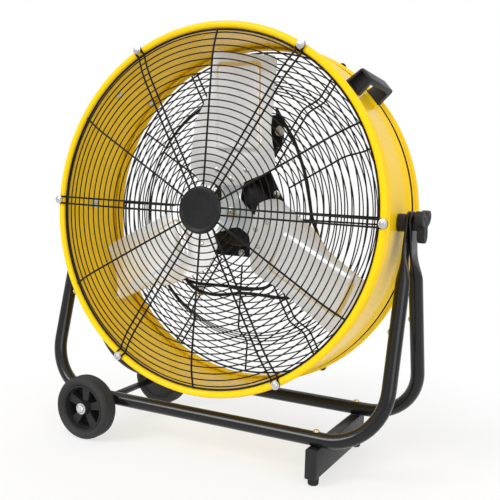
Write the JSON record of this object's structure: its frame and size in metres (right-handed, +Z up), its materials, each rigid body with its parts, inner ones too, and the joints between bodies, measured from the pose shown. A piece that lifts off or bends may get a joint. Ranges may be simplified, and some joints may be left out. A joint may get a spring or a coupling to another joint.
{
  "type": "drum fan",
  "caption": "Floor-standing drum fan: a tilting rolled-steel drum with wire guards and metal blades on a bent-tube stand with wheels at one side.",
  "frame": {"origin": "middle of the bounding box on the floor, under the tilt axis", "axes": "+Z up, -Y the way the air leaves, +X the side with the foot bar, -X the side with the wheels"},
  "size_m": [0.7726, 0.3078, 0.7976],
  "materials": {
    "yellow_paint": "glossy yellow enamel",
    "black_paint": "semi-gloss black powder coat",
    "black_plastic": "matt moulded",
    "black_rubber": "matt",
    "aluminium": "plain rolled sheet",
    "pale_steel": "pale plated sheet",
    "zinc": "bright zinc plate",
    "brass_zinc": "yellow passivated zinc"
  },
  "bodies": {
    "stand": {"front_lower_frame": "black_paint", "rear_lower_frame": "black_paint", "foot_bar": "black_paint", "axle": "black_paint", "foot_bar_front_plug": "black_plastic", "foot_bar_rear_plug": "black_plastic", "foot_bar_front_bolt": "brass_zinc", "foot_bar_rear_bolt": "brass_zinc", "front_foot": "black_rubber", "rear_foot": "black_rubber", "front_axle_cap": "zinc", "rear_axle_cap": "zinc", "front_right_leg": "black_paint", "front_left_leg": "black_paint", "rear_right_leg": "black_paint", "rear_left_leg": "black_paint", "right_pivot_spacer": "black_plastic", "left_pivot_spacer": "black_plastic", "right_pivot_bolt": "zinc", "left_pivot_bolt": "zinc"},
    "drum": {"drum_shell": "yellow_paint", "right_handle": "black_plastic", "left_handle": "black_plastic", "right_handle_front_screw": "zinc", "right_handle_rear_screw": "zinc", "left_handle_front_screw": "zinc", "left_handle_rear_screw": "zinc", "front_guard": "black_paint", "rear_guard": "black_paint", "centre_cap": "black_plastic", "front_clip_screw_1": "zinc", "front_clip_screw_2": "zinc", "front_clip_screw_3": "zinc", "front_clip_screw_4": "zinc", "front_clip_screw_5": "zinc", "front_clip_screw_6": "zinc", "motor_shell": "black_paint", "motor_rear_bell": "black_paint", "motor_plate": "black_paint", "motor_lead": "black_rubber", "switch_box": "black_plastic", "switch_box_clamp": "black_paint", "clamp_right_screw": "zinc", "clamp_left_screw": "zinc", "cord_gland": "black_plastic"},
    "rotor": {"motor_shaft": "zinc", "hub_plate": "pale_steel", "hub_nut": "brass_zinc", "blade_1": "aluminium", "blade_2": "aluminium", "blade_3": "aluminium"},
    "speed_control": {"speed_knob": "black_plastic"},
    "right_knob": {"right_tilt_knob": "black_plastic"},
    "left_knob": {"left_tilt_knob": "black_plastic"},
    "front_wheel": {"front_wheel_hub": "black_plastic", "front_wheel_tyre": "black_rubber"},
    "rear_wheel": {"rear_wheel_hub": "black_plastic", "rear_wheel_tyre": "black_rubber"}
  },
  "joints": [
    {"name": "drum_tilt", "type": "hinge", "parent": "stand", "child": "drum", "pos_m": [0, 0, 0.452], "axis": [1, 0, 0], "range_deg": [-86, 64]},
    {"name": "rotor_spin", "type": "hinge", "parent": "drum", "child": "rotor", "pos_m": [0, 0, 0.452], "axis": [0, 0.9976, -0.0698], "continuous": true},
    {"name": "speed_knob_turn", "type": "hinge", "parent": "drum", "child": "speed_control", "pos_m": [0, 0.1305, 0.6055], "axis": [0, 0.9976, -0.0698], "range_deg": [0, 120]},
    {"name": "right_knob_turn", "type": "hinge", "parent": "stand", "child": "right_knob", "pos_m": [0.37, 0, 0.452], "axis": [1, 0, 0], "range_deg": [0, 360]},
    {"name": "left_knob_turn", "type": "hinge", "parent": "stand", "child": "left_knob", "pos_m": [-0.37, 0, 0.452], "axis": [-1, 0, 0], "range_deg": [0, 360]},
    {"name": "front_wheel_spin", "type": "hinge", "parent": "stand", "child": "front_wheel", "pos_m": [-0.238, -0.1324, 0.062], "axis": [0, 1, 0], "continuous": true},
    {"name": "rear_wheel_spin", "type": "hinge", "parent": "stand", "child": "rear_wheel", "pos_m": [-0.238, 0.1324, 0.062], "axis": [0, 1, 0], "continuous": true}
  ]
}
